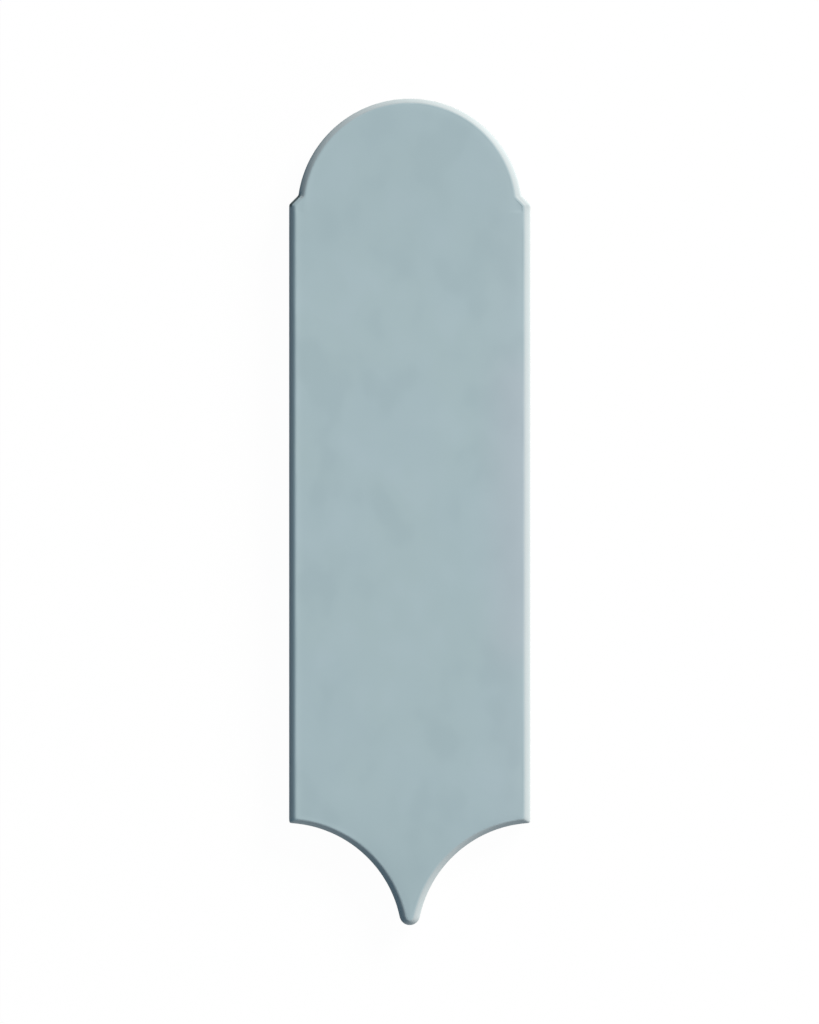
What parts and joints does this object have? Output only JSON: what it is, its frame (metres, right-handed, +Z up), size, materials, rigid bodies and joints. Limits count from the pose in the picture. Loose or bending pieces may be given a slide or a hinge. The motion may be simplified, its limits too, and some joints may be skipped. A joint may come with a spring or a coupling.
{
  "type": "feather ceramic tile",
  "caption": "Glazed ceramic wall tile in a feather shape: a round head, straight sides and a hollow-flanked tail that nests between the heads of neighbouring tiles.",
  "frame": {"origin": "middle of the tile's outer box, on the plane of its back", "axes": "+Z up through the glazed face, +Y along the tile to its round head, +X to the right as the face is seen with the head up"},
  "size_m": [0.089, 0.305, 0.009],
  "materials": {
    "glaze": "satin"
  },
  "bodies": {
    "root": {"tile": "glaze"}
  },
  "joints": []
}
